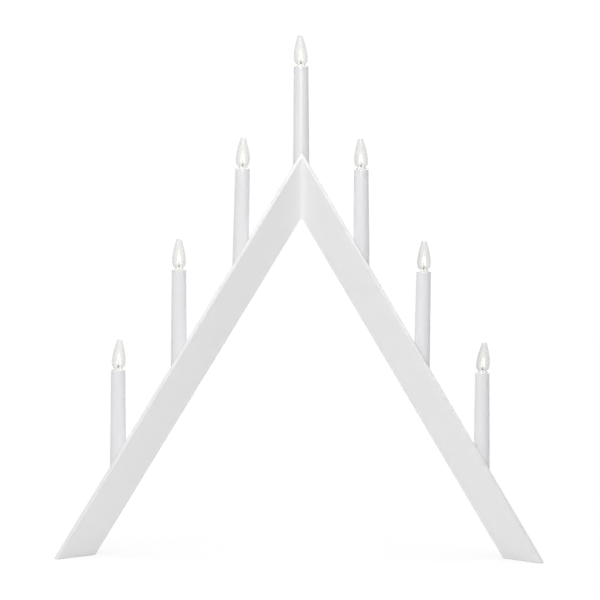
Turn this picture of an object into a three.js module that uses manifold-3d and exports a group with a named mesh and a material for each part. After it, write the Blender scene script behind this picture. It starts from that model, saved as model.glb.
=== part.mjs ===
// An electric window candlestick: two painted wooden arms mitred into a steep peak, with seven
// plastic candles that each hold a small screw-in lamp. Millimetres, +Z up, front towards -Y,
// origin on the floor under the peak, halfway through the depth.
import * as THREE from "three";
import { mergeVertices } from "three/addons/utils/BufferGeometryUtils.js";
import Module from "manifold-3d";

const wasm = await Module();
wasm.setup();

// Clearances
const FIT = 0.3; // gap between pieces that sit in each other
const THREAD_FIT = 0.35; // radial gap between lamp cap and socket shell
const GLUE_GAP = 0.3; // between the two mitred faces

// Arms: a wedge section, sloping front face, narrow flat on its outer edge, flat back
const ARM_SLOPE_DEG = 59.5; // above the floor
const ARM_WIDTH = 39; // across an arm, seen from the front
const ARM_DEPTH = 36; // front outer edge to back
const INNER_DEPTH = 12; // front inner edge to back
const EDGE_FLAT = 5.75; // the flat along the outer edge, square to the front face
const TOP_FALL_DEG = 12; // how the top behind that flat falls towards the back

// Candles, counted outwards from the peak
const CANDLES_PER_ARM = 3;
const CANDLE_PITCH = 72.2; // across
const LOWEST_SEAT = 123.4; // height of the front outer edge at the lowest candles
const CANDLE_INSET = 15; // candle axis in front of the arm's back
const TUBE_RISE = 105.8; // top of a tube above the front outer edge
const TUBE_TOP_RADIUS = 8.55;
const TUBE_FOOT_RADIUS = 9.7;
const TUBE_WALL = 1.1;
const TUBE_RIM_ROUND = 0.5;
const SEAT_DEPTH = 20; // hole for a tube, below the arm's top at its axis
// How far each candle leans in its hole, left to right, positive towards +X
const LEANS_DEG = [0.1, 0, 1, -0.4, -0.6, 0.5, -0.4];
// How far each hole was drilled off its mark, left to right, towards +X
const DRILLED_OFF = [0, -0.1, 0.6, -0.8, -1, -0.3, 0];

// Lamp, from the top of the tube: a small screw cap under a flame-shaped glass
const CAP_RADIUS = 4.7;
const CAP_WALL = 0.3;
const CAP_DROP = 1.2; // top of the cap below the top of the tube
const CAP_LENGTH = 9.7;
const CAP_SHOULDER = 1.5; // height of the slope at the foot of the cap
const CAP_EYE_RADIUS = 1.9; // hole for the tip
const TIP_LENGTH = 1.6;
const TIP_SHOW = 1; // how far the tip stands out under the cap
const NECK_FIT = 0.35; // between the glass neck and the cap
const NECK_DEPTH = 7; // glass inside the cap
const GLASS_WALL = 0.6;
const GLASS_HEIGHT = 36.4; // above the tube
const GLASS_RADIUS = 8.3;
const BELLY_HEIGHT = 9.5; // where the glass is widest
const SHOULDER_RADIUS = 7.2; // partway up the glass
const SHOULDER_HEIGHT = 19;
const NOSE_RADIUS = 3.6; // where the blunt nose starts
const NOSE_HEIGHT = 33;
const STEM_WAIST_RADIUS = 1.1;
const STEM_HEIGHT = 3.4; // above the tube
const WIRE_RADIUS = 0.3;
const FILAMENT_SPREAD = 1.9; // half its span
const FILAMENT_FOOT = 6.2; // where its ends hang, above the tube
const FILAMENT_TOP = 16.6; // top of its arch
const FILAMENT_STEPS = 8;

// Socket inside the tube
const SHELL_WALL = 0.3;
const SHELL_LENGTH = 9.5;
const SHELL_DROP = 2.4; // top of the shell below the top of the tube
const HOLDER_DROP = 0.6; // top of the holder below the top of the tube
const HOLDER_LENGTH = 14.6;
const LIP_RISE = 1.2; // the holder's collar round the lamp, above the tube
const LIP_DEPTH = 1.5; // how far the collar goes down inside, to just over the shell
const LIP_WALL = 1.2;
const HOLDER_FLOOR = 2;
const HOLDER_EYE_RADIUS = 2.4;

// Wiring, in a channel behind the arms with a cover set flush in the back
const CHANNEL_WIDTH = 12;
const CHANNEL_EDGE = 19.5; // upper side of the channel below the front outer edge
const CHANNEL_DEPTH = 5; // under the cover
const CHANNEL_PAST = 21; // how far it goes on past the cord inlet
const COVER_THICKNESS = 2.7;
const COVER_LAP = 3; // how far the cover overlaps the channel on each side
const LEAD_BORE_RADIUS = 3.5;
const LEAD_BORE_SHORT = 0.5; // its axis in front of the channel's floor
const LEAD_RADIUS = 1.4; // one lead, up into a candle
const LEAD_SIDES = 8;
const LEAD_STEPS = 12;
const FLEX_RADIUS = 2.1; // the flex in the channel
const FLEX_STOP = 14; // where it stops above the inlet
const RISER_RUN = 10; // how far a lead lies along the flex before it rises

// Cord inlet in the back of the left arm
const INLET_DROP = 33; // along the arm from the lowest candle
const INLET_RADIUS = 3.2; // the way through
const GROMMET_WALL = 1;
const GROMMET_FLANGE = 1; // thickness of the flange behind the cover

// Dowels across the mitre
const DOWEL_RADIUS = 2.5;
const DOWEL_LENGTH = 24;
const UPPER_DOWEL_WALL = 8; // wood between it and the middle candle's seat
const LOWER_DOWEL_WALL = 2; // wood between it and the end of the middle candle's lead bore
const DOWEL_SIDE_WALL = 3.2; // wood between the upper dowel and that bore
const DOWEL_BACK_WALL = 1.4; // wood between the lower dowel and the channel

const ROUND = { tube: 20, bore: 24, socket: 14, glass: 14, small: 8, wire: 6 };

// Derived sizes
const slope = THREE.MathUtils.degToRad(ARM_SLOPE_DEG);
const fall = Math.tan(THREE.MathUtils.degToRad(TOP_FALL_DEG));
const ridgeHeight = LOWEST_SEAT + CANDLES_PER_ARM * CANDLE_PITCH * Math.tan(slope);
const reach = 2 * ridgeHeight; // longer than any piece that is cut to length
const overrun = 2 * EDGE_FLAT * Math.tan(slope); // start of a bar past the mitre, before it is cut
const frontY = -ARM_DEPTH / 2;
const backY = ARM_DEPTH / 2;
const innerY = backY - INNER_DEPTH;
const candleY = backY - CANDLE_INSET;
const twist = Math.atan2(innerY - frontY, ARM_WIDTH);
const flatOut = EDGE_FLAT * Math.sin(twist);
const flatBack = EDGE_FLAT * Math.cos(twist);
const topAt = (y) => flatOut - (y - frontY - flatBack) * fall; // outward level of the arm's top
const channelTop = -CHANNEL_EDGE;
const channelFloorY = backY - COVER_THICKNESS - FIT - CHANNEL_DEPTH;
const leadOut = channelTop - CHANNEL_WIDTH / 2;
const leadY = channelFloorY + CHANNEL_DEPTH / 2;
const shellRadius = CAP_RADIUS + THREAD_FIT + SHELL_WALL;
const holderBore = shellRadius + FIT;
const tubeLength = TUBE_RISE + SEAT_DEPTH - topAt(candleY) / Math.cos(slope);
const radiusAtTubeTop = TUBE_TOP_RADIUS - TUBE_WALL;
const seatFoot = -tubeLength - FIT;
const holderFoot = -HOLDER_DROP - HOLDER_LENGTH;
const boreFoot = leadOut / Math.cos(slope) - TUBE_RISE;
const boreBack = channelFloorY - LEAD_BORE_SHORT - candleY; // bore behind the candle axis
const neckRadius = CAP_RADIUS - CAP_WALL - NECK_FIT;
const stemRadius = neckRadius - GLASS_WALL - FIT;
const capFoot = -CAP_DROP - CAP_LENGTH;
const tipFoot = capFoot - TIP_SHOW;

const paint = (color, roughness, metalness = 0, more = {}) =>
  new THREE.MeshStandardMaterial({ color, roughness, metalness, ...more });
const MATERIALS = {
  paintedWood: paint(0xe6e6e4, 0.45),
  rawWood: paint(0xd9bf94, 0.7),
  tubePlastic: paint(0xeeeef2, 0.25),
  holderPlastic: paint(0xf2f2f0, 0.4),
  coverBoard: paint(0xdcdcda, 0.6),
  brass: paint(0xc9a84e, 0.3, 1),
  solder: paint(0xb8b8ba, 0.35, 1),
  glass: paint(0xf6f4ee, 0.05, 0, { transparent: true, opacity: 0.35 }),
  filament: paint(0xffd9a0, 0.4, 0.5),
  leadSleeve: paint(0xf4f4f4, 0.5),
  grommetRubber: paint(0xf0f0ee, 0.7),
};

const root = new THREE.Group();

function solidOf(geometry) {
  const bare = geometry.clone();
  bare.deleteAttribute("normal");
  bare.deleteAttribute("uv");
  const merged = mergeVertices(bare, 1e-4);
  const vertProperties = merged.attributes.position.array;
  const triVerts = new Uint32Array(merged.index.array);
  return new wasm.Manifold(new wasm.Mesh({ numProp: 3, vertProperties, triVerts }));
}

function geometryOf(solid) {
  const mesh = solid.getMesh();
  const geometry = new THREE.BufferGeometry();
  geometry.setAttribute("position", new THREE.BufferAttribute(mesh.vertProperties, 3));
  geometry.setIndex(new THREE.BufferAttribute(mesh.triVerts, 1));
  geometry.computeVertexNormals();
  return geometry;
}

function cut(geometry, tools) {
  let solid = solidOf(geometry);
  for (const tool of tools) solid = solid.subtract(solidOf(tool));
  return geometryOf(solid);
}

function join(geometries) {
  const [first, ...others] = geometries.map(solidOf);
  return geometryOf(others.reduce((whole, piece) => whole.add(piece), first));
}

function addPiece(parent, name, geometry, material) {
  const mesh = new THREE.Mesh(geometry, material);
  mesh.name = name;
  parent.add(mesh);
  return mesh;
}

// A solid turned about Z. The outline is [radius, height] pairs, counter-clockwise in that plane.
function turned(outline, sides) {
  const closed = outline[0][0] > 0 || outline.at(-1)[0] > 0;
  const points = outline.map(([radius, height]) => new THREE.Vector2(radius, height));
  if (closed) points.push(points[0].clone());
  return new THREE.LatheGeometry(points, sides).rotateX(Math.PI / 2);
}

function rod(radius, bottom, top, sides = ROUND.bore) {
  const outline = [[0, bottom], [radius, bottom], [radius, top], [0, top]];
  return turned(outline, sides);
}

function rodX(radius, length, sides) {
  return rod(radius, -length / 2, length / 2, sides).rotateY(Math.PI / 2);
}

function rodY(radius, from, to, sides) {
  return rod(radius, from, to, sides).rotateX(-Math.PI / 2);
}

// Places on an arm: station runs down the arm from the ridge, out is square to it, y is depth
function onArm(side, station, out, y) {
  const x = side * (station * Math.cos(slope) + out * Math.sin(slope));
  const z = ridgeHeight - station * Math.sin(slope) + out * Math.cos(slope);
  return new THREE.Vector3(x, y, z);
}

const stationAtX = (x, out) => (x - out * Math.sin(slope)) / Math.cos(slope);
const lastStation = stationAtX(CANDLES_PER_ARM * CANDLE_PITCH, leadOut);
const inletStation = lastStation + INLET_DROP;
const channelFoot = inletStation + CHANNEL_PAST;

// A bar along an arm between two stations, from an outline of [y, out] pairs
function armBar(side, outline, from, to) {
  const shape = new THREE.Shape(outline.map(([y, out]) => new THREE.Vector2(y, out)));
  const bar = new THREE.ExtrudeGeometry(shape, { depth: to - from, bevelEnabled: false });
  bar.translate(0, 0, side > 0 ? from : -to);
  const out = onArm(side, 0, 1, 0).sub(onArm(side, 0, 0, 0));
  const depth = new THREE.Vector3(0, 1, 0);
  const along = new THREE.Vector3().crossVectors(depth, out);
  const frame = new THREE.Matrix4().makeBasis(depth, out, along);
  return bar.applyMatrix4(frame).translate(0, 0, ridgeHeight);
}

function rectangle(y0, y1, out0, out1) {
  return [[y0, out0], [y1, out0], [y1, out1], [y0, out1]];
}

function block(x0, x1, y0, y1, z0, z1) {
  const box = new THREE.BoxGeometry(x1 - x0, y1 - y0, z1 - z0);
  return box.translate((x0 + x1) / 2, (y0 + y1) / 2, (z0 + z1) / 2);
}

// What is left of the mitre plane on the other side, and all that is under the floor
function trims(side, gap) {
  const edge = side * gap;
  const far = -side * reach;
  return [
    block(Math.min(edge, far), Math.max(edge, far), -reach, reach, -reach, reach),
    block(-reach, reach, -reach, reach, -reach, 0),
  ];
}

// Candle frames: the origin of each is the middle of its tube's top
function candleFrame(index) {
  const frame = new THREE.Group();
  const x = index * CANDLE_PITCH;
  const seat = ridgeHeight - Math.abs(x) * Math.tan(slope);
  const lean = THREE.MathUtils.degToRad(LEANS_DEG[index + CANDLES_PER_ARM] ?? 0);
  const across = x + (DRILLED_OFF[index + CANDLES_PER_ARM] ?? 0) + TUBE_RISE * Math.sin(lean);
  frame.position.set(across, candleY, seat + TUBE_RISE * Math.cos(lean));
  frame.rotation.y = lean;
  frame.updateMatrix();
  return frame;
}

const candleIndexes = [];
for (let i = -CANDLES_PER_ARM; i <= CANDLES_PER_ARM; i++) candleIndexes.push(i);
const candleFrames = new Map(candleIndexes.map((i) => [i, candleFrame(i)]));

// Hole for a tube and the narrower bore for its lead, in the candle's frame
function seatCutters(index) {
  const place = candleFrames.get(index).matrix;
  const seatRadius = TUBE_FOOT_RADIUS + FIT;
  const seat = rod(seatRadius, seatFoot, -TUBE_RISE + seatRadius * 2);
  const bore = rod(LEAD_BORE_RADIUS, boreFoot, seatFoot + LEAD_BORE_RADIUS);
  bore.translate(0, boreBack, 0);
  return [seat.applyMatrix4(place), bore.applyMatrix4(place)];
}

// Dowels across the mitre, under the middle candle's seat and behind the valley
function dowelPlaces() {
  const half = DOWEL_RADIUS + FIT;
  const tubeTop = ridgeHeight + TUBE_RISE;
  const boreFront = candleY + boreBack - LEAD_BORE_RADIUS;
  const underSeat = tubeTop + seatFoot - UPPER_DOWEL_WALL - half;
  const underBore = tubeTop + boreFoot - LOWER_DOWEL_WALL - half;
  return [
    ["mitre_dowel_upper", boreFront - DOWEL_SIDE_WALL - half, underSeat],
    ["mitre_dowel_lower", channelFloorY - DOWEL_BACK_WALL - half, underBore],
  ];
}

function dowelCutters() {
  const hole = rodX(DOWEL_RADIUS + FIT, DOWEL_LENGTH + 2 * FIT, ROUND.socket);
  return dowelPlaces().map(([, y, z]) => hole.clone().translate(0, y, z));
}

function makeArm(side) {
  const section = [
    [frontY, 0],
    [innerY, -ARM_WIDTH],
    [backY, -ARM_WIDTH],
    [backY, topAt(backY)],
    [frontY + flatBack, flatOut],
  ];
  const low = channelTop - CHANNEL_WIDTH;
  const channel = rectangle(channelFloorY, backY + 1, low, channelTop);
  const rebateDeep = backY - COVER_THICKNESS - FIT;
  const lap = COVER_LAP + FIT;
  const rebate = rectangle(rebateDeep, backY + 1, low - lap, channelTop + lap);
  const own = candleIndexes.filter((i) => i * side >= 0);
  return cut(armBar(side, section, -overrun, reach), [
    ...trims(side, GLUE_GAP / 2),
    armBar(side, channel, -overrun, channelFoot),
    armBar(side, rebate, -overrun, channelFoot + lap),
    ...own.flatMap(seatCutters),
    ...dowelCutters(),
  ]);
}

function makeCover(side) {
  const low = channelTop - CHANNEL_WIDTH - COVER_LAP;
  const outline = rectangle(backY - COVER_THICKNESS, backY, low, channelTop + COVER_LAP);
  const strip = armBar(side, outline, -overrun, channelFoot + COVER_LAP);
  const tools = trims(side, GLUE_GAP / 2);
  if (side < 0) tools.push(inletRod(INLET_RADIUS + GROMMET_WALL + FIT, -reach, reach));
  return cut(strip, tools);
}

const inletCentre = onArm(-1, inletStation, leadOut, 0);

function inletRod(radius, from, to) {
  return rodY(radius, from, to, ROUND.tube).translate(inletCentre.x, 0, inletCentre.z);
}

function makeGrommet() {
  const sleeve = INLET_RADIUS + GROMMET_WALL;
  const flange = CHANNEL_WIDTH / 2 - FIT;
  const seat = backY - COVER_THICKNESS - FIT;
  const outline = [
    [INLET_RADIUS, seat - GROMMET_FLANGE],
    [flange, seat - GROMMET_FLANGE],
    [flange, seat],
    [sleeve, seat],
    [sleeve, backY],
    [INLET_RADIUS, backY],
  ];
  const ring = turned(outline, ROUND.tube).rotateX(-Math.PI / 2);
  return ring.translate(inletCentre.x, 0, inletCentre.z);
}

function makeTube() {
  return turned([
    [TUBE_FOOT_RADIUS - TUBE_WALL, -tubeLength],
    [TUBE_FOOT_RADIUS, -tubeLength],
    [TUBE_TOP_RADIUS, -TUBE_RIM_ROUND],
    [TUBE_TOP_RADIUS - TUBE_RIM_ROUND / 2, 0],
    [radiusAtTubeTop, 0],
    [radiusAtTubeTop, -HOLDER_DROP - HOLDER_LENGTH],
  ], ROUND.tube);
}

function makeHolder() {
  const top = -HOLDER_DROP;
  const bottom = top - HOLDER_LENGTH;
  const outer = radiusAtTubeTop - FIT;
  const lip = CAP_RADIUS + FIT;
  return turned([
    [HOLDER_EYE_RADIUS, bottom],
    [outer, bottom],
    [outer, top],
    [lip + LIP_WALL, top],
    [lip + LIP_WALL, LIP_RISE],
    [lip, LIP_RISE],
    [lip, top - LIP_DEPTH],
    [holderBore, top - LIP_DEPTH],
    [holderBore, bottom + HOLDER_FLOOR],
    [HOLDER_EYE_RADIUS, bottom + HOLDER_FLOOR],
  ], ROUND.socket);
}

function makeShell() {
  const top = -SHELL_DROP;
  return turned([
    [shellRadius - SHELL_WALL, top - SHELL_LENGTH],
    [shellRadius, top - SHELL_LENGTH],
    [shellRadius, top],
    [shellRadius - SHELL_WALL, top],
  ], ROUND.socket);
}

function makeCap() {
  const inside = CAP_RADIUS - CAP_WALL;
  return turned([
    [CAP_EYE_RADIUS, capFoot],
    [CAP_RADIUS - CAP_SHOULDER, capFoot],
    [CAP_RADIUS, capFoot + CAP_SHOULDER],
    [CAP_RADIUS, -CAP_DROP],
    [inside, -CAP_DROP],
    [inside, capFoot + CAP_SHOULDER],
    [CAP_EYE_RADIUS, capFoot + CAP_WALL * 2],
  ], ROUND.socket);
}

function makeTip() {
  const radius = CAP_EYE_RADIUS - FIT;
  return turned([
    [0, tipFoot],
    [radius * 0.6, tipFoot],
    [radius, tipFoot + TIP_SHOW / 2],
    [radius, tipFoot + TIP_LENGTH],
    [0, tipFoot + TIP_LENGTH],
  ], ROUND.small);
}

// The flame outline, in from the surface by inset, from the collar over the cap up to the nose
function flameOutline(inset, steps) {
  const profile = new THREE.SplineCurve([
    new THREE.Vector2(CAP_RADIUS - inset, LIP_RISE),
    new THREE.Vector2((CAP_RADIUS + GLASS_RADIUS) / 2 - inset, BELLY_HEIGHT * 0.3),
    new THREE.Vector2(GLASS_RADIUS - inset, BELLY_HEIGHT),
    new THREE.Vector2(SHOULDER_RADIUS - inset, SHOULDER_HEIGHT),
    new THREE.Vector2(NOSE_RADIUS - inset, NOSE_HEIGHT),
    new THREE.Vector2(0, GLASS_HEIGHT - inset),
  ]);
  return profile.getPoints(steps).map((p) => [Math.max(p.x, 0), p.y]);
}

function makeGlass() {
  const neckTop = -CAP_DROP + FIT;
  return turned([
    ...flameOutline(GLASS_WALL, 6).reverse(),
    [neckRadius - GLASS_WALL, neckTop],
    [neckRadius - GLASS_WALL, -NECK_DEPTH],
    [neckRadius, -NECK_DEPTH],
    [neckRadius, neckTop],
    [CAP_RADIUS, neckTop + FIT],
    ...flameOutline(0, 10),
  ], ROUND.glass);
}

// A round wire or lead along smooth points
function wireAlong(points, radius, sides, steps) {
  const section = new THREE.Shape();
  for (let i = 0; i < sides; i++) {
    const angle = (i / sides) * 2 * Math.PI;
    const [x, y] = [radius * Math.cos(angle), radius * Math.sin(angle)];
    if (i === 0) section.moveTo(x, y);
    else section.lineTo(x, y);
  }
  const extrudePath = new THREE.CatmullRomCurve3(points, false, "centripetal");
  return new THREE.ExtrudeGeometry(section, { steps, extrudePath, bevelEnabled: false });
}

// The glass stem, the wire to each end of the filament, one up its middle, and the arch itself
function makeMount() {
  const stem = turned([
    [0, -NECK_DEPTH],
    [stemRadius, -NECK_DEPTH],
    [stemRadius, -NECK_DEPTH / 2],
    [STEM_WAIST_RADIUS, 0],
    [STEM_WAIST_RADIUS, STEM_HEIGHT],
    [0, STEM_HEIGHT],
  ], ROUND.small);
  const inArch = (across, up) => new THREE.Vector3(
    across * FILAMENT_SPREAD, 0, THREE.MathUtils.lerp(FILAMENT_FOOT, FILAMENT_TOP, up));
  const arch = [[-1, 0], [-0.8, 0.4], [0, 1], [0.8, 0.4], [1, 0]].map(([across, up]) => inArch(across, up));
  const foot = new THREE.Vector3(0, 0, STEM_HEIGHT - WIRE_RADIUS * 2);
  const wires = [inArch(-1, 0.03), inArch(0, 1), inArch(1, 0.03)];
  return join([
    stem,
    ...wires.map((head) => rodBetween(foot, head, WIRE_RADIUS, ROUND.wire)),
    wireAlong(arch, WIRE_RADIUS, ROUND.wire, FILAMENT_STEPS),
  ]);
}

// From the flex up through the bore into the tube, to the tip of the lamp
function riserPoints(side, index) {
  const frame = candleFrames.get(index).matrix;
  const local = (y, z) => new THREE.Vector3(0, y, z).applyMatrix4(frame);
  const aside = TUBE_FOOT_RADIUS - TUBE_WALL - LEAD_RADIUS - 2 * FIT;
  const station = stationAtX(Math.abs(local(0, boreFoot).x), leadOut);
  return [
    onArm(side, station + RISER_RUN, leadOut, leadY),
    onArm(side, station + RISER_RUN / 3, leadOut, leadY),
    local(aside, (seatFoot + boreFoot) / 2),
    local(aside, seatFoot + LEAD_RADIUS * 3),
    local(0, (seatFoot * 2 + holderFoot) / 3),
    local(0, holderFoot),
    local(0, tipFoot - FIT),
  ];
}

function riserRun(index) {
  const points = riserPoints(index < 0 ? -1 : 1, index);
  return wireAlong(points, LEAD_RADIUS, LEAD_SIDES, LEAD_STEPS);
}

function rodBetween(from, to, radius, sides) {
  const turn = new THREE.Quaternion();
  turn.setFromUnitVectors(new THREE.Vector3(0, 0, 1), to.clone().sub(from).normalize());
  const bar = rod(radius, 0, from.distanceTo(to), sides);
  return bar.applyQuaternion(turn).translate(from.x, from.y, from.z);
}

// The flex in both channels, a knuckle where they meet, and a lead up into each candle
function makeWiring() {
  const apex = onArm(1, stationAtX(0, leadOut), leadOut, leadY);
  const ends = [
    onArm(-1, inletStation - FLEX_STOP, leadOut, leadY),
    onArm(1, lastStation + RISER_RUN + FLEX_RADIUS, leadOut, leadY),
  ];
  const flex = ends.map((end) => rodBetween(apex, end, FLEX_RADIUS, LEAD_SIDES));
  const knuckle = new THREE.SphereGeometry(FLEX_RADIUS * 1.1, 10, 6);
  knuckle.translate(apex.x, apex.y, apex.z);
  const risers = candleIndexes.map(riserRun);
  return join([...flex, knuckle, ...risers]);
}

// Arms, covers and joinery
const arms = new THREE.Group();
for (const [side, word] of [[-1, "left"], [1, "right"]]) {
  addPiece(arms, word + "_arm", makeArm(side), MATERIALS.paintedWood);
  addPiece(arms, word + "_back_cover", makeCover(side), MATERIALS.coverBoard);
}
for (const [name, y, z] of dowelPlaces()) {
  const dowel = addPiece(arms, name, rodX(DOWEL_RADIUS, DOWEL_LENGTH, ROUND.socket), MATERIALS.rawWood);
  dowel.position.set(0, y, z);
}
addPiece(arms, "cord_grommet", makeGrommet(), MATERIALS.grommetRubber);
root.add(arms);

// Candles, each with its lamp
function addCandle(index) {
  const frame = candleFrames.get(index);
  const tag = "_" + (index + CANDLES_PER_ARM + 1);
  addPiece(frame, "candle_tube" + tag, makeTube(), MATERIALS.tubePlastic);
  addPiece(frame, "lamp_holder" + tag, makeHolder(), MATERIALS.holderPlastic);
  addPiece(frame, "socket_shell" + tag, makeShell(), MATERIALS.brass);
  addPiece(frame, "lamp_cap" + tag, makeCap(), MATERIALS.brass);
  addPiece(frame, "lamp_tip" + tag, makeTip(), MATERIALS.solder);
  addPiece(frame, "lamp_glass" + tag, makeGlass(), MATERIALS.glass);
  addPiece(frame, "lamp_filament" + tag, makeMount(), MATERIALS.filament);
  root.add(frame);
}
candleIndexes.forEach(addCandle);

addPiece(root, "wiring", makeWiring(), MATERIALS.leadSleeve);

export default root;
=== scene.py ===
import math

import bmesh
import bpy
from mathutils import Matrix, Vector

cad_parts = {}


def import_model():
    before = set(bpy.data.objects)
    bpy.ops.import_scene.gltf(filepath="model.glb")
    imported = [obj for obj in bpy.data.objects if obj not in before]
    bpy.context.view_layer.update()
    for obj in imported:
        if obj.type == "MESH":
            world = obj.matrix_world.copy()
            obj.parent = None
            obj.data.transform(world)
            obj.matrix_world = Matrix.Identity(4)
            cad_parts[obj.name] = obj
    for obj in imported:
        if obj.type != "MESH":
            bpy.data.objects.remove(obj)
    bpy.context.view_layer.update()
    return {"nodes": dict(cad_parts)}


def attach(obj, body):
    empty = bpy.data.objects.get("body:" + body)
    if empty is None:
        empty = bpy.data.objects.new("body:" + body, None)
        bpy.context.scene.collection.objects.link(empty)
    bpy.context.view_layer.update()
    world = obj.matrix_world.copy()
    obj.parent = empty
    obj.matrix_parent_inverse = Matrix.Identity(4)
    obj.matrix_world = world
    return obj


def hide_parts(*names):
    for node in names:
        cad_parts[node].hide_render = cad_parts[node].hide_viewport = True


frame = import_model()
nodes = frame["nodes"]

# Lengths are in metres. On an arm, "station" runs down along it from the ridge and "out" runs
# square to it, outwards. A candle's own heights count from the top of its tube. Tuples of seven
# go from the left candle to the right one.

# The arms, as the solids have them
SLOPE = math.radians(59.5)
ARM_WIDTH = 0.039
FRONT = -0.018
BACK = 0.018
INNER = 0.006
FLAT = 0.00575
TOP_FALL = math.tan(math.radians(12))
FIT = 0.0003
CHANNEL_OUT = (-0.0315, -0.0195)
CHANNEL_DEPTH = 0.005
CHANNEL_PAST = 0.054
COVER_LAP = 0.003
REBATE_DEPTH = 0.003

# The candles, as the solids have them
ARM_CANDLES = 3
CANDLE_PITCH = 0.0722
LOWEST_SEAT = 0.1234
CANDLE_Y = 0.003
LEANS = (0.1, 0, 1, -0.4, -0.6, 0.5, -0.4)  # degrees
DRILLED_OFF = (0, -0.0001, 0.0006, -0.0008, -0.001, -0.0003, 0)
TUBE_RISE = 0.1058
SEAT_DEPTH = 0.020
TUBE_TOP = 0.00855
TUBE_FOOT = 0.0097
TUBE_WALL = 0.0011
HOLDER_DROP = 0.0006
HOLDER_DEPTH = 0.0146
HOLDER_BORE = 0.00565
HOLDER_FLOOR = 0.002
LEAD_EYE = 0.0024
LIP_RISE = 0.0012
COLLAR_WALL = 0.0012
SHELL = 0.00535
SHELL_DROP = 0.0024
SHELL_LENGTH = 0.0095
CAP = 0.0047
CAP_DROP = 0.0012
CAP_LENGTH = 0.0097
TIP_HOLE = 0.0019
FILAMENT_FOOT = 0.0062
FILAMENT_TOP = 0.0166
FILAMENT_SPREAD = 0.0019

# The finer forms that the solids leave out
EDGE_ROUND = 0.0011
CREASE_ROUND = 0.0024
TUBE_RIM = 0.0006
TUBE_EASE = 0.0005
THREAD_PITCH = 0.00181
THREAD_STEPS = 6
CAP_THREAD = 0.00045
CAP_WALL = 0.0003
SHELL_THREAD = 0.0003
GLASS_WALL = 0.0005
GLASS_LEANS = (0.045, 0, 0, -0.035, -0.02, 0, 0.065)  # sideways for each metre of height
LEAN_FROM = -0.002
SIDE_WIRE = 0.00018
MIDDLE_WIRE = 0.00012
COIL_WIRE = 0.0002
COIL_RADIUS = 0.0004
COIL_FLATTENED = 0.7
COIL_TURNS = 34
COIL_STEPS = 240
ARCH = 1.6

# Outlines to be turned about the candle's axis: radius and height
GLASS_OUTLINE = [
    (0.00405, -0.007), (0.00405, -0.0010), (0.0046, -0.0007), (0.0047, -0.0002),
    (0.0047, 0.0011), (0.0051, 0.0016), (0.0061, 0.0023), (0.0071, 0.0034), (0.0078, 0.0050),
    (0.0082, 0.0073), (0.0083, 0.0102), (0.0081, 0.0135), (0.0076, 0.0170), (0.0070, 0.0203),
    (0.0063, 0.0234), (0.0055, 0.0265), (0.0048, 0.0291), (0.0042, 0.0314), (0.0037, 0.0332),
    (0.0033, 0.0345), (0.0028, 0.0354), (0.0021, 0.0360), (0.0012, 0.0363), (0, 0.0364)]
STEM_OUTLINE = [
    (0, -0.0068), (0.0031, -0.0068), (0.0031, -0.0014), (0.0033, -0.0010), (0.0039, -0.0004),
    (0.0040, 0.0009), (0.0037, 0.0014), (0.0024, 0.0016), (0.0011, 0.0018), (0.0008, 0.0020),
    (0, 0.0021)]
BEAD_OUTLINE = [(0, 0.0017), (0.0008, 0.0019), (0.0011, 0.0026), (0.0009, 0.0034), (0, 0.0038)]

# Limits for finding edges and faces
TOUCH = 1e-7
NEAR = 1e-6
LEVEL = 1e-5
STRAIGHT = 0.999
SHARP_ANGLE = 0.3  # radians

# The camera of the photograph, its angles in degrees
AZIMUTH, ELEVATION, ROLL = 0.404, 12.3, 0.379
CAMERA_AIM = (-0.001, -0.005, 0.3167)
CAMERA_DISTANCE = 7.098
LENS = 360
SENSOR = 36
CLIP_END = 60

# Tones matched to the photograph by place, not worked out from light: ramps of place and share
# painted light: a lighter band along the valley of the mitre, set by place
VALLEY_BIAS = 0.0013
VALLEY_REACH = 0.025
VALLEY_FALL = [(0.0, 1), (1.0, 0), (0.09, 0.85), (0.17, 0.48), (0.35, 0.25)]
VALLEY_PAINTED_LIGHT = 0.105
# painted shade: the lamps' glass turns greyer towards the right, away from the light, set by place
GLASS_SHADE_SPAN = 0.25
GLASS_SHADE_RAMP = [(0.0, 0), (0.88, 1), (0.28, 0.25), (0.58, 0.55)]
GLASS_PAINTED_SHADE = 0.17

# Staging
FLOOR_SIZE = 12
FLOOR_BOUNCE = 0.8
FLOOR_SHADE = 0.22
FLOOR_SPAN = 2.0
SHADOW_FADE = [(0.175, 0), (0.65, 1)]
GLOW_NEAR = 0.79
GLOW_FAR = 1.01
AMBIENT = 0.25
LIGHTS_AIM = (0, 0, 0.3)
LIGHTS = [
    # name, place, width, height, watts
    ("card", (-0.06, -2.5, 0.35), 1.2, 0.7, 12),
    ("front_high", (-0.3, -2.6, 2.0), 1.2, 1.2, 18.5),
    ("top", (0.0, -0.2, 2.2), 1.2, 1.2, 10.5),
    ("ceiling", (0.0, -0.6, 4.4), 2.4, 2.4, 58),
    ("left_far", (-3.6, -2.6, 1.6), 1.6, 1.6, 7),
    ("left_side", (-2.6, -0.3, 0.9), 1.0, 1.2, 4.1),
    ("back", (0.3, 2.6, 1.1), 1.4, 1.2, 30),
]

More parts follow.
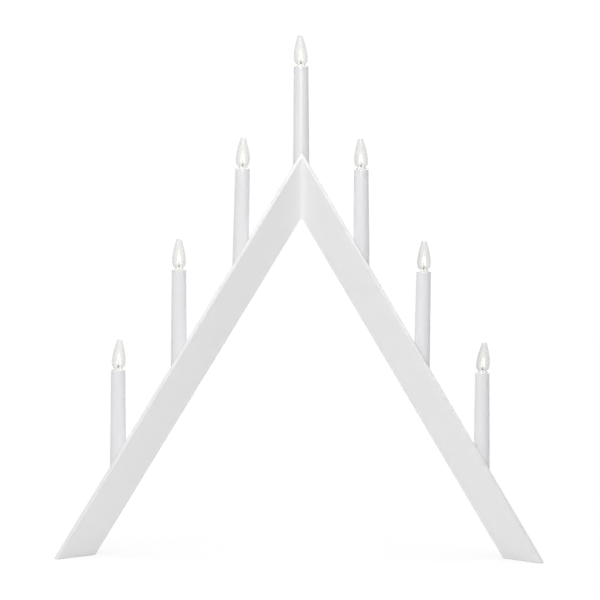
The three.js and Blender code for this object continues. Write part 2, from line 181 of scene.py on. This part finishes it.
ridge = LOWEST_SEAT + ARM_CANDLES * CANDLE_PITCH * math.tan(SLOPE)
twist = math.atan2(INNER - FRONT, ARM_WIDTH)
flat_out = FLAT * math.sin(twist)
flat_back = FLAT * math.cos(twist)
back_out = flat_out - (BACK - FRONT - flat_back) * TOP_FALL
seat_out = flat_out - (CANDLE_Y - FRONT - flat_back) * TOP_FALL
tube_length = TUBE_RISE + SEAT_DEPTH - seat_out / math.cos(SLOPE)
lead_out = (CHANNEL_OUT[0] + CHANNEL_OUT[1]) / 2
lowest_station = (ARM_CANDLES * CANDLE_PITCH - lead_out * math.sin(SLOPE)) / math.cos(SLOPE)
channel_foot = lowest_station + CHANNEL_PAST
rebate_out = (CHANNEL_OUT[0] - COVER_LAP - FIT, CHANNEL_OUT[1] + COVER_LAP + FIT)


def add_object(name, data):
    made = bpy.data.objects.new(name, data)
    bpy.context.scene.collection.objects.link(made)
    return made


def set_camera():
    azimuth, elevation, roll = (math.radians(v) for v in (AZIMUTH, ELEVATION, ROLL))
    forward = Vector((-math.sin(azimuth) * math.cos(elevation),
                      math.cos(azimuth) * math.cos(elevation), -math.sin(elevation)))
    level = Vector((math.cos(azimuth), math.sin(azimuth), 0))
    upright = level.cross(forward)
    right = level * math.cos(roll) + upright * math.sin(roll)
    up = upright * math.cos(roll) - level * math.sin(roll)
    data = bpy.data.cameras.new("camera")
    data.lens = LENS
    data.sensor_width = SENSOR
    data.clip_end = CLIP_END
    camera = add_object("camera", data)
    turn = Matrix((right, up, -forward)).transposed().to_4x4()
    place = Vector(CAMERA_AIM) - forward * CAMERA_DISTANCE
    camera.matrix_world = Matrix.Translation(place) @ turn
    bpy.context.scene.camera = camera


# Materials: a small layer over the node tree
class Value:
    """A socket of a material; +, - and * on it add Math nodes."""

    def __init__(self, graph, socket):
        self.graph = graph
        self.socket = socket

    def _math(self, operation, first, second):
        return self.graph.node("ShaderNodeMath", {"operation": operation}, {0: first, 1: second})

    def __add__(self, other):
        return self._math("ADD", self, other)

    def __radd__(self, other):
        return self._math("ADD", other, self)

    def __mul__(self, other):
        return self._math("MULTIPLY", self, other)

    def __sub__(self, other):
        return self._math("SUBTRACT", self, other)


class Graph:
    """One material's or the world's nodes."""

    def __init__(self, owner):
        owner.use_nodes = True
        self.tree = owner.node_tree
        self.tree.nodes.clear()

    def node(self, kind, settings=None, inputs=None, output=0):
        node = self.tree.nodes.new(kind)
        for name, value in (settings or {}).items():
            setattr(node, name, value)
        for key, value in (inputs or {}).items():
            if isinstance(value, Value):
                self.tree.links.new(value.socket, node.inputs[key])
            else:
                node.inputs[key].default_value = value
        return Value(self, node.outputs[output])

    def ramp(self, factor, stops):
        """A curve of greys; the first two stops take the two points that a ramp starts with."""
        node = self.tree.nodes.new("ShaderNodeValToRGB")
        points = node.color_ramp.elements
        for point, (place, grey) in zip(points, stops[:2]):
            point.position = place
            point.color = (grey, grey, grey, 1)
        for place, grey in stops[2:]:
            points.new(place).color = (grey, grey, grey, 1)
        self.tree.links.new(factor.socket, node.inputs[0])
        return Value(self, node.outputs[0])

    def place(self, scale=(1, 1, 1)):
        coords = self.node("ShaderNodeTexCoord", output="Object")
        return self.node("ShaderNodeMapping", {}, {"Vector": coords, "Scale": scale})

    def noise(self, scale, detail, stretch=(1, 1, 1)):
        return self.node("ShaderNodeTexNoise", {},
                         {"Vector": self.place(stretch), "Scale": scale, "Detail": detail})

    def tint(self, factor, first, second):
        mix = self.tree.nodes.new("ShaderNodeMix")
        mix.data_type = "RGBA"
        self.tree.links.new(factor.socket, mix.inputs[0])
        mix.inputs[6].default_value = (*first, 1)
        mix.inputs[7].default_value = (*second, 1)
        return Value(self, mix.outputs[2])

    def bump(self, height, strength, distance):
        return self.node("ShaderNodeBump", {},
                         {"Height": height, "Strength": strength, "Distance": distance})

    def seen(self):
        """1 for what the camera sees, straight or by gloss or through glass, 0 for soft light."""
        path = self.tree.nodes.new("ShaderNodeLightPath")
        camera, glossy, through = (Value(self, path.outputs["Is %s Ray" % kind])
                                   for kind in ("Camera", "Glossy", "Transmission"))
        return self.node("ShaderNodeMath", {"operation": "ADD", "use_clamp": True},
                         {0: camera + glossy, 1: through})

    def surface(self, shader, kind="ShaderNodeOutputMaterial"):
        out = self.tree.nodes.new(kind)
        self.tree.links.new(shader.socket, out.inputs["Surface"])

    def principled(self, **inputs):
        """Ends the material in a Principled shader, Base_Color going to its Base Color."""
        names = {name.replace("_", " "): value for name, value in inputs.items()}
        self.surface(self.node("ShaderNodeBsdfPrincipled", {}, names))


def material(name):
    made = bpy.data.materials.new(name)
    return made, Graph(made)


def grained(name, grain, first, second, rough, relief, patches=None, **more):
    """Between two colours by its grain or by patches, its gloss and relief following the grain."""
    made, g = material(name)
    fine = g.noise(*grain)
    spread = g.noise(*patches) if patches else fine
    g.principled(Base_Color=g.tint(spread, first, second), Roughness=rough[0] + fine * rough[1],
                 Normal=g.bump(fine, *relief), **more)
    return made


def white_paint():
    made, g = material("white_satin_paint")
    fibres = g.noise(260, 4)
    rolled = g.noise(1400, 2)
    colour = g.tint(fibres, (0.845, 0.845, 0.845), (0.865, 0.865, 0.868))
    # painted light: the paint is whitened in a band along the valley, a little right of the mitre,
    # for the light that the two faces throw on each other; the photograph is lighter in the
    # valley, a little right of the mitre; why isn't known, so the paint is whitened there to match
    # it
    across = g.node("ShaderNodeSeparateXYZ", {}, {0: g.place()}) - VALLEY_BIAS
    off = g.node("ShaderNodeMath", {"operation": "ABSOLUTE"}, {0: across}) * (1 / VALLEY_REACH)
    valley_light_share = g.ramp(off, VALLEY_FALL)
    valley_lit_colour = g.node("ShaderNodeVectorMath", {"operation": "SCALE"},
                      {0: colour, "Scale": 1 + valley_light_share * VALLEY_PAINTED_LIGHT})
    g.principled(Base_Color=valley_lit_colour, Roughness=0.40 + fibres * 0.10, IOR=1.46,
                 Normal=g.bump(rolled * 0.6 + fibres * 0.4, 0.25, 0.00025))
    return made


def tube_plastic():
    made, g = material("white_tube_plastic")
    drawn = g.noise(420, 3, (1, 1, 0.04))
    specks = g.noise(2600, 2)
    colour = g.tint(drawn, (0.825, 0.825, 0.842), (0.845, 0.845, 0.860))
    g.principled(Base_Color=colour, Roughness=0.07 + drawn * 0.05, IOR=1.45,
                 Normal=g.bump(drawn * 0.8 + specks * 0.2, 0.05, 0.0002))
    return made


def clear_glass():
    made, g = material("clear_lamp_glass")
    drawn = g.noise(90, 2, (1, 1, 0.25))
    facing = g.node("ShaderNodeLayerWeight", {}, {"Blend": 0.5}, output=1)
    # painted shade: the glass is tinted greyer towards the lamps on the right, the side away from
    # the light; it also darkens where the wall is seen edge-on
    along = g.node("ShaderNodeSeparateXYZ", {}, {0: g.place((1 / GLASS_SHADE_SPAN,) * 3)})
    thickness_and_painted_shade = facing + drawn * 0.05 + g.ramp(along, GLASS_SHADE_RAMP) * GLASS_PAINTED_SHADE
    g.principled(Base_Color=g.tint(thickness_and_painted_shade, (0.947, 0.947, 0.938), (0.655, 0.655, 0.65)),
                 Roughness=0.01, IOR=1.45, Transmission_Weight=1.0)
    return made


def stem_glass():
    made, g = material("stem_glass")
    swirl = g.noise(500, 3)
    g.principled(Base_Color=g.tint(swirl, (0.86, 0.855, 0.84), (0.92, 0.915, 0.90)),
                 Roughness=0.15 + swirl * 0.1, IOR=1.5, Transmission_Weight=0.2)
    return made


def lit_wire():
    made, g = material("lit_filament")
    heat = g.noise(700, 2)
    g.principled(Base_Color=(0.95, 0.85, 0.65, 1), Roughness=0.5,
                 Emission_Color=g.tint(heat, (1.0, 0.80, 0.48), (1.0, 0.88, 0.62)),
                 Emission_Strength=1.7)
    return made


def support_wire():
    made, g = material("support_wire")
    drawn = g.noise(1500, 2)
    g.principled(Base_Color=g.tint(drawn, (0.26, 0.25, 0.24), (0.36, 0.35, 0.33)), Metallic=1.0,
                 Roughness=0.35 + drawn * 0.15)
    return made


def bare_wood():
    made, g = material("bare_beech")
    rings = g.noise(90, 6, (0.15, 1, 1))
    pores = g.noise(900, 3, (0.08, 1, 1))
    colour = g.tint(rings * 0.7 + pores * 0.3, (0.62, 0.43, 0.24), (0.80, 0.62, 0.40))
    g.principled(Base_Color=colour, Roughness=0.55 + pores * 0.2,
                 Normal=g.bump(pores, 0.3, 0.0003))
    return made


PAINT = white_paint()
TUBE = tube_plastic()
# the holder's white plastic is painted warm and bright: partly its own colour, partly painted
# light from the lamp above it
MOULDED_LAMPLIT = grained("moulded_white_lamplit", (1800, 3), (0.86, 0.85, 0.825), (0.90, 0.89, 0.865),
                  rough=(0.38, 0.12), relief=(0.2, 0.0002), IOR=1.49)
BRASS = grained("bright_brass", (900, 3, (1, 1, 0.2)), (0.80, 0.60, 0.27), (0.70, 0.50, 0.22),
                rough=(0.20, 0.18), relief=(0.15, 0.0001), patches=(160, 4), Metallic=1.0)
SOLDER = grained("dull_solder", (2200, 4), (0.55, 0.55, 0.56), (0.70, 0.70, 0.71),
                 rough=(0.32, 0.2), relief=(0.4, 0.0001), Metallic=1.0)
GLASS = clear_glass()
STEM = stem_glass()
LIT = lit_wire()
SUPPORT = support_wire()
BEECH = bare_wood()
BOARD = grained("painted_board", (700, 5), (0.80, 0.80, 0.79), (0.84, 0.84, 0.835),
                rough=(0.55, 0.15), relief=(0.35, 0.0003), patches=(150, 3))
RUBBER = grained("white_rubber", (2400, 3), (0.74, 0.74, 0.73), (0.80, 0.80, 0.79),
                 rough=(0.62, 0.15), relief=(0.3, 0.0002))
SLEEVE = grained("lead_sleeve", (1600, 3), (0.82, 0.82, 0.81), (0.87, 0.87, 0.86),
                 rough=(0.42, 0.1), relief=(0.2, 0.0002))


# Pieces
def mesh_from(name, bm, surfaces=()):
    mesh = bpy.data.meshes.new(name)
    bm.to_mesh(mesh)
    bm.free()
    for surface in surfaces:
        mesh.materials.append(surface)
    return mesh


def piece(name, bm, surfaces, body, stands_for, smooth):
    """Makes the finished bmesh an object that rides on a body in place of CAD nodes."""
    mesh = mesh_from(name, bm, surfaces)
    mesh.shade_smooth()
    mesh.set_sharp_from_angle(angle=math.radians(smooth))
    made = add_object(name, mesh)
    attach(made, body)
    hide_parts(*stands_for)
    return made


def finish_node(name, surface):
    node = nodes[name]
    node.data.materials.clear()
    node.data.materials.append(surface)


def spun(profile, steps, closed=False):
    """Turns an outline of radius and height about Z."""
    bm = bmesh.new()
    points = [bm.verts.new((radius, 0, height)) for radius, height in profile]
    edges = [bm.edges.new(pair) for pair in zip(points, points[1:])]
    if closed:
        edges.append(bm.edges.new((points[-1], points[0])))
    bmesh.ops.spin(bm, geom=points + edges, cent=(0, 0, 0), axis=(0, 0, 1), dvec=(0, 0, 0),
                   angle=2 * math.pi, steps=steps, use_merge=True)
    bmesh.ops.remove_doubles(bm, verts=bm.verts, dist=TOUCH)
    bmesh.ops.recalc_face_normals(bm, faces=bm.faces)
    return bm


def merge(parts):
    """Puts several bmeshes in one; each comes with the index of its material."""
    whole = bmesh.new()
    for part, slot in parts:
        for face in part.faces:
            face.material_index = slot
        mesh = mesh_from("part", part)
        whole.from_mesh(mesh)
        bpy.data.meshes.remove(mesh)
    return whole


def everything(bm):
    return bm.verts[:] + bm.edges[:] + bm.faces[:]


def extrude(bm, faces, vec):
    """Draws walls out of faces, with a copy of the faces at their end."""
    run = bmesh.ops.extrude_face_region(bm, geom=faces)
    moved = [v for v in run["geom"] if isinstance(v, bmesh.types.BMVert)]
    bmesh.ops.translate(bm, verts=moved, vec=vec)


def round_edges(bm, edges, width, segments):
    bmesh.ops.bevel(bm, geom=edges, offset=width, offset_type="OFFSET", segments=segments,
                    profile=0.5, affect="EDGES", material=-1, clamp_overlap=True)


def on_arm(side, station, out, y):
    x = side * (station * math.cos(SLOPE) + out * math.sin(SLOPE))
    return Vector((x, y, ridge - station * math.sin(SLOPE) + out * math.cos(SLOPE)))


def arms():
    """Both arms as one painted body, mitred, with the rebate and the channel in the back."""
    section = [(FRONT, 0), (INNER, -ARM_WIDTH), (BACK, -ARM_WIDTH), (BACK, back_out),
               (FRONT + flat_back, flat_out)]
    bm = bmesh.new()
    # one arm, longer than it should be at both ends, cut at the mitre and at the floor
    end = bm.faces.new([bm.verts.new(on_arm(1, -0.1, out, y)) for y, out in section])
    extrude(bm, [end], on_arm(1, 0.8, 0, 0) - on_arm(1, 0, 0, 0))
    for normal in ((1, 0, 0), (0, 0, 1)):
        bmesh.ops.bisect_plane(bm, geom=everything(bm), dist=TOUCH, plane_co=(0, 0, 0),
                               plane_no=normal, clear_inner=True)
    foot = [e for e in bm.edges if e.is_boundary and all(abs(v.co.z) < NEAR for v in e.verts)]
    bmesh.ops.contextual_create(bm, geom=foot)
    bmesh.ops.mirror(bm, geom=everything(bm), axis="X", merge_dist=NEAR)
    bmesh.ops.recalc_face_normals(bm, faces=bm.faces)
    crease = [e for e in bm.edges if all(abs(v.co.x) < NEAR for v in e.verts)
              and min(v.co.y for v in e.verts) < FRONT + NEAR
              and max(v.co.y for v in e.verts) > INNER - NEAR]
    round_edges(bm, crease, CREASE_ROUND, 4)
    sharp = [e for e in bm.edges if e.is_manifold and e.calc_face_angle() > SHARP_ANGLE
             and any(abs(v.co.x) > CREASE_ROUND * 1.2 for v in e.verts)]
    round_edges(bm, sharp, EDGE_ROUND, 3)
    cut_back(bm)
    bmesh.ops.recalc_face_normals(bm, faces=bm.faces)
    made = piece("painted_arms", bm, [PAINT], "stand",
                 ["left_arm", "right_arm"], 30)
    level = made.modifiers.new("level_faces", "WEIGHTED_NORMAL")
    level.keep_sharp = True
    level.weight = 100


def back_faces(bm, side, level):
    """One arm's faces that look straight back at the depth given by level."""
    found = []
    for face in bm.faces:
        centre = face.calc_center_median()
        if face.normal.y > STRAIGHT and abs(centre.y - level) < LEVEL and centre.x * side > 0:
            found.append(face)
    return found


def cut_back(bm):
    """Sinks the rebate for the covers into the back, and the wiring channel into that."""
    rebate = (*rebate_out, channel_foot + COVER_LAP + FIT, BACK, REBATE_DEPTH)
    channel = (*CHANNEL_OUT, channel_foot, BACK - REBATE_DEPTH, CHANNEL_DEPTH)
    for low, high, foot, level, depth in (rebate, channel):
        chosen = []
        for side in (-1, 1):
            start = on_arm(side, 0, 0, 0)
            outwards = on_arm(side, 0, 1, 0) - start
            along = on_arm(side, 1, 0, 0) - start
            planes = [(on_arm(side, 0, low, 0), outwards), (on_arm(side, 0, high, 0), outwards),
                      (on_arm(side, foot, 0, 0), along)]
            for place, normal in planes:
                faces = back_faces(bm, side, level)
                edges = list(dict.fromkeys(e for f in faces for e in f.edges))
                verts = list(dict.fromkeys(v for f in faces for v in f.verts))
                bmesh.ops.bisect_plane(bm, geom=verts + edges + faces, dist=TOUCH,
                                       plane_co=place, plane_no=normal)
            for face in back_faces(bm, side, level):
                offset = face.calc_center_median() - start
                if low < offset.dot(outwards) < high and offset.dot(along) < foot:
                    chosen.append(face)
        extrude(bm, chosen, (0, -depth, 0))
        bmesh.ops.delete(bm, geom=[f for f in chosen if f.is_valid], context="FACES")


# The pieces of a candle: each function gives its bmesh, upright, with the tube's top at zero
def tube():
    inner = TUBE_TOP - TUBE_WALL
    outline = [(TUBE_FOOT - TUBE_WALL, -tube_length), (TUBE_FOOT, -tube_length),
               (TUBE_FOOT, -tube_length + TUBE_EASE), (TUBE_TOP, -TUBE_RIM - TUBE_EASE)]
    outline += [(TUBE_TOP - TUBE_RIM * (1 - math.cos(a)), -TUBE_RIM * (1 - math.sin(a)))
                for a in (0, math.pi / 6, math.pi / 3, math.pi / 2)]
    outline += [(inner + 0.00015, 0), (inner, -0.0002), (inner, -0.015), (inner, -0.0155)]
    return spun(outline, 72, closed=True)


def holder():
    outer = TUBE_TOP - TUBE_WALL - FIT
    top, foot = -HOLDER_DROP, -HOLDER_DROP - HOLDER_DEPTH
    lip, collar = CAP + FIT, CAP + FIT + COLLAR_WALL
    outline = [
        (LEAD_EYE, foot), (outer, foot), (outer, top - 0.0003), (outer - 0.0003, top),
        (collar + 0.0002, top), (collar, top + 0.0002), (collar, LIP_RISE - 0.0005),
        (collar - 0.0002, LIP_RISE - 0.0001), (collar - 0.0005, LIP_RISE),
        (lip + 0.0003, LIP_RISE), (lip, LIP_RISE - 0.0003), (lip, top - 0.0015),
        (HOLDER_BORE, top - 0.0015), (HOLDER_BORE, foot + HOLDER_FLOOR),
        (LEAD_EYE, foot + HOLDER_FLOOR)]
    return spun(outline, 48, closed=True)


def threaded(radius, bottom, top, depth):
    """Outline of a rolled round thread from bottom to top."""
    count = int((top - bottom) / THREAD_PITCH * THREAD_STEPS)
    return [(radius - depth * (0.5 + 0.5 * math.cos(2 * math.pi * i / THREAD_STEPS)),
             bottom + (top - bottom) * i / count) for i in range(count + 1)]


def shell():
    top, foot = -SHELL_DROP, -SHELL_DROP - SHELL_LENGTH
    inner = SHELL - SHELL_THREAD
    thread = threaded(SHELL, foot + 0.0004, top - 0.0004, SHELL_THREAD)
    outline = [(inner, foot)] + thread + [(inner, top), (SHELL, top), (SHELL, foot)]
    return spun(outline, 40, closed=True)


def cap():
    top, foot = -CAP_DROP, -CAP_DROP - CAP_LENGTH
    outline = [(TIP_HOLE, foot), (CAP - 0.0016, foot), (CAP - 0.0009, foot + 0.0006)]
    outline += threaded(CAP, foot + 0.0017, top - 0.0013, CAP_THREAD)
    outline += [(CAP - 0.0004, top - 0.0008), (CAP - 0.0001, top - 0.0004), (CAP, top),
                (CAP - CAP_WALL, top), (CAP - 0.001, foot + 0.0015),
                (TIP_HOLE, foot + CAP_WALL * 2)]
    return spun(outline, 48, closed=True)


def glass():
    outer = [Vector(point) for point in GLASS_OUTLINE]
    inner = []
    for before, here, after in zip(outer, outer[1:], outer[2:]):
        run = (after - before).normalized()
        inner.append(here + Vector((-run.y, run.x)) * GLASS_WALL)
    mouth, height = GLASS_OUTLINE[0]
    inner = ([Vector((mouth - GLASS_WALL, height))] + [v for v in inner if v.x > 0.0003]
             + [Vector((0, outer[-1].y - GLASS_WALL))])
    return spun([tuple(v) for v in inner[::-1] + outer], 64)


def rod_along(points, radius, sides):
    """A thin round wire through points: rings of vertices joined end to end."""
    bm = bmesh.new()
    rings = []
    for i, point in enumerate(points):
        before, after = points[max(i - 1, 0)], points[min(i + 1, len(points) - 1)]
        turn = (after - before).to_track_quat("Z", "X").to_matrix().to_4x4()
        ring = bmesh.ops.create_circle(bm, cap_ends=i in (0, len(points) - 1), segments=sides,
                                       radius=radius, matrix=Matrix.Translation(point) @ turn)
        rings.append(ring["verts"])
    for low, high in zip(rings, rings[1:]):
        edges = [e for ring in (low, high) for e in bm.edges
                 if e.verts[0] in ring and e.verts[1] in ring]
        bmesh.ops.bridge_loops(bm, edges=edges)
    bmesh.ops.recalc_face_normals(bm, faces=bm.faces)
    return bm


def mount():
    """The stem with its bead, three wires and the coiled filament, which arches over them."""
    peak = Vector((0, 0, FILAMENT_TOP))
    parts = [(spun(STEM_OUTLINE, 24), 0), (spun(BEAD_OUTLINE, 16), 1)]
    for side in (-1, 1):
        wire = [Vector((side * 0.0004, 0, 0.0030)), Vector((side * 0.0007, 0, 0.0045)),
                Vector((side * FILAMENT_SPREAD, 0, FILAMENT_FOOT))]
        parts.append((rod_along(wire, SIDE_WIRE, 6), 1))
    parts.append((rod_along([Vector((0, 0.0003, 0.0034)), peak], MIDDLE_WIRE, 6), 1))
    coil = []
    for i in range(COIL_STEPS + 1):
        t = 2 * i / COIL_STEPS - 1
        rise = (1 - abs(t) ** ARCH) * (FILAMENT_TOP - FILAMENT_FOOT)
        middle = Vector((FILAMENT_SPREAD * t, 0, FILAMENT_FOOT + rise))
        angle = math.pi * COIL_TURNS * t
        round_it = Vector((math.cos(angle) * COIL_FLATTENED, math.sin(angle), 0))
        coil.append(middle + round_it * COIL_RADIUS)
    parts.append((rod_along(coil, COIL_WIRE, 5), 2))
    return merge(parts)


# What each candle has: the function above, the names of the piece, of the solid that it stands
# for and of the body that it rides on, its slot, its materials, and up to which angle it is smooth
CANDLE_PIECES = [
    (tube, "tube_#", "candle_tube_#", "stand", "tube_plastic", [TUBE], 40),
    (holder, "holder_#", "lamp_holder_#", "stand", "holder_plastic", [MOULDED_LAMPLIT], 40),
    (shell, "screw_shell_#", "socket_shell_#", "stand", "brass", [BRASS], 60),
    (cap, "screw_cap_#", "lamp_cap_#", "lamp_#", "brass", [BRASS], 60),
    (glass, "flame_glass_#", "lamp_glass_#", "lamp_#", "lamp_glass", [GLASS], 60),
    (mount, "mount_#", "lamp_filament_#", "lamp_#", "filament", [STEM, SUPPORT, LIT], 50),
]


def candle_place(number):
    """The middle of a tube's top, with the tube's lean."""
    lean = math.radians(LEANS[number - 1])
    x = (number - 1 - ARM_CANDLES) * CANDLE_PITCH
    seat = ridge - abs(x) * math.tan(SLOPE)
    across = x + DRILLED_OFF[number - 1] + TUBE_RISE * math.sin(lean)
    top = Vector((across, CANDLE_Y, seat + TUBE_RISE * math.cos(lean)))
    return Matrix.Translation(top) @ Matrix.Rotation(lean, 4, "Y")


def candle(number):
    place = candle_place(number)
    for shape, *names, slot, surfaces, smooth in CANDLE_PIECES:
        name, solid, body = (text.replace("#", str(number)) for text in names)
        bm = shape()
        if shape in (glass, mount):
            # glass and filament sit a little crooked in some caps
            for v in bm.verts:
                v.co.x += GLASS_LEANS[number - 1] * max(v.co.z - LEAN_FROM, 0)
        bmesh.ops.transform(bm, matrix=place, verts=bm.verts)
        made = piece(name, bm, surfaces, body, [solid], smooth)
        if shape is glass:
            made.visible_shadow = False  # light passes through clear glass
    finish_node("lamp_tip_%d" % number, SOLDER)


def floor():
    bm = bmesh.new()
    bmesh.ops.create_grid(bm, x_segments=1, y_segments=1, size=FLOOR_SIZE)
    surface, g = material("white_floor")
    lit = g.node("ShaderNodeBsdfDiffuse", {}, {"Color": (*(FLOOR_BOUNCE,) * 3, 1)})
    # the shadow lies near the object; further off the floor is plain white
    away = g.node("ShaderNodeVectorMath", {"operation": "LENGTH"},
                  {0: g.place((1 / FLOOR_SPAN,) * 3)}, output=1)
    far = g.ramp(away, SHADOW_FADE)
    shade = g.node("ShaderNodeBsdfDiffuse", {},
                   {"Color": g.tint(far, (FLOOR_SHADE,) * 3, (0, 0, 0))})
    white = g.tint(far, (GLOW_NEAR,) * 3, (GLOW_FAR,) * 3)
    glow = g.node("ShaderNodeEmission", {}, {"Color": white, "Strength": 1.0})
    backdrop = g.node("ShaderNodeAddShader", {}, {0: shade, 1: glow})
    g.surface(g.node("ShaderNodeMixShader", {}, {0: g.seen(), 1: lit, 2: backdrop}))
    made = add_object("floor", mesh_from("floor", bm, [surface]))


def world():
    made = bpy.data.worlds.new("studio")
    bpy.context.scene.world = made
    g = Graph(made)
    strength = AMBIENT + g.seen() * (1 - AMBIENT)
    back = g.node("ShaderNodeBackground", {}, {"Color": (1, 1, 1, 1), "Strength": strength})
    g.surface(back, "ShaderNodeOutputWorld")


def lights():
    for name, place, width, height, watts in LIGHTS:
        data = bpy.data.lights.new(name, "AREA")
        data.shape = "RECTANGLE"
        data.size = width
        data.size_y = height
        data.energy = watts
        made = add_object(name, data)
        turn = (Vector(LIGHTS_AIM) - Vector(place)).to_track_quat("-Z", "Y")
        made.matrix_world = Matrix.Translation(place) @ turn.to_matrix().to_4x4()
        made.visible_camera = False
        made.visible_transmission = False


set_camera()
world()
lights()
floor()
bpy.context.scene.view_settings.view_transform = "Standard"

arms()
for number in range(1, len(LEANS) + 1):
    candle(number)
for name in ("left_back_cover", "right_back_cover"):
    finish_node(name, BOARD)
for name in ("mitre_dowel_upper", "mitre_dowel_lower"):
    finish_node(name, BEECH)
finish_node("cord_grommet", RUBBER)
finish_node("wiring", SLEEVE)
